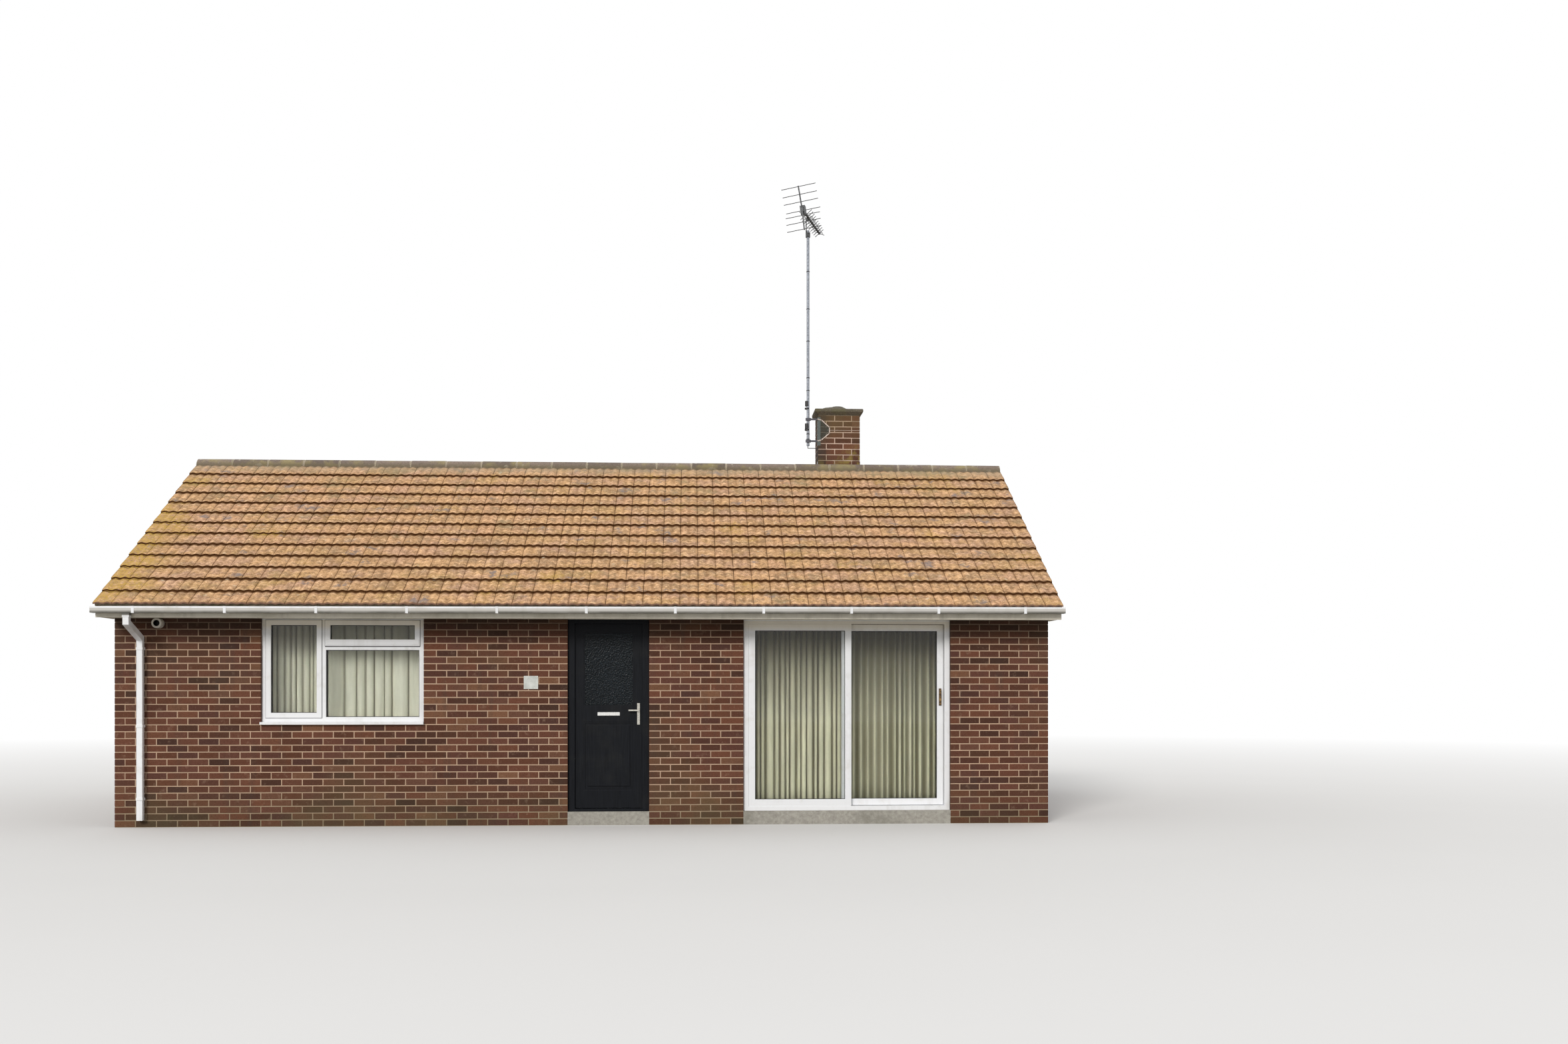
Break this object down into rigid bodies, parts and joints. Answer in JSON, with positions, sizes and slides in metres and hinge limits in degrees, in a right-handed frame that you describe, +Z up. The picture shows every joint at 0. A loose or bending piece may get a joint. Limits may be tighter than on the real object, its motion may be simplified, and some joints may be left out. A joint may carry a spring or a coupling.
{
  "type": "bungalow",
  "caption": "Single-storey brick bungalow with a low pitched tile roof, white windows, a dark front door, a sliding patio door, a chimney and a television aerial.",
  "frame": {"origin": "centre of the base, on the ground", "axes": "+X along the ridge towards the chimney, -Y out of the front with both front doors, +Z up"},
  "size_m": [10.4942, 7.48, 8.1153],
  "materials": {
    "brick": "matt",
    "concrete": "matt",
    "roof_tile": "matt",
    "ridge_tile": "matt",
    "timber": "sawn",
    "plaster": "matt",
    "cement_board": "matt",
    "white_upvc": "satin",
    "door_paint": "gloss",
    "glass": "clear",
    "curtain": "woven",
    "steel": "galvanised",
    "aerial_metal": "weathered",
    "fitting_metal": "satin",
    "cable": "matt"
  },
  "bodies": {
    "house": {"floor_slab": "concrete", "front_wall_left": "brick", "front_wall_middle": "brick", "front_wall_right": "brick", "front_wall_top": "brick", "rear_wall": "brick", "left_gable": "brick", "right_gable": "brick", "wall_plates": "timber", "roof_trusses": "timber", "ceiling": "plaster", "front_roof_tiles": "roof_tile", "rear_roof_tiles": "roof_tile", "ridge_tiles": "ridge_tile", "verge_undercloaks": "cement_board", "fascias": "white_upvc", "soffits": "white_upvc", "gutters": "white_upvc", "gutter_brackets": "white_upvc", "downpipes": "white_upvc", "window_frames": "white_upvc", "window_sashes": "white_upvc", "window_sills": "white_upvc", "fixed_glass": "glass", "curtain_rails": "white_upvc", "curtains": "curtain", "door_frame": "door_paint", "door_hinge_pins": "fitting_metal", "patio_frame": "white_upvc", "patio_fixed_leaf": "white_upvc", "rear_door": "door_paint", "chimney_stack": "brick", "chimney_cap": "concrete", "aerial_mast": "steel", "aerial_bracket": "steel", "aerial_head": "aerial_metal", "aerial_cable": "cable", "flue_terminal": "white_upvc", "wall_plaque": "white_upvc"},
    "front_door": {"front_door": "door_paint", "front_door_glass": "glass", "letter_plate": "fitting_metal", "door_handle": "fitting_metal", "door_hinge_knuckles": "fitting_metal"},
    "patio_leaf": {"sliding_leaf": "white_upvc", "sliding_glass": "glass", "sliding_handle": "white_upvc"}
  },
  "joints": [
    {"name": "front_door_hinge", "type": "hinge", "parent": "house", "child": "front_door", "pos_m": [-0.1775, -3.0777, 1.22], "axis": [0, 0, 1], "range_deg": [0, 95]},
    {"name": "patio_door_slide", "type": "slide", "parent": "house", "child": "patio_leaf", "axis": [-1, 0, 0], "range_m": [0, 0.95]}
  ]
}
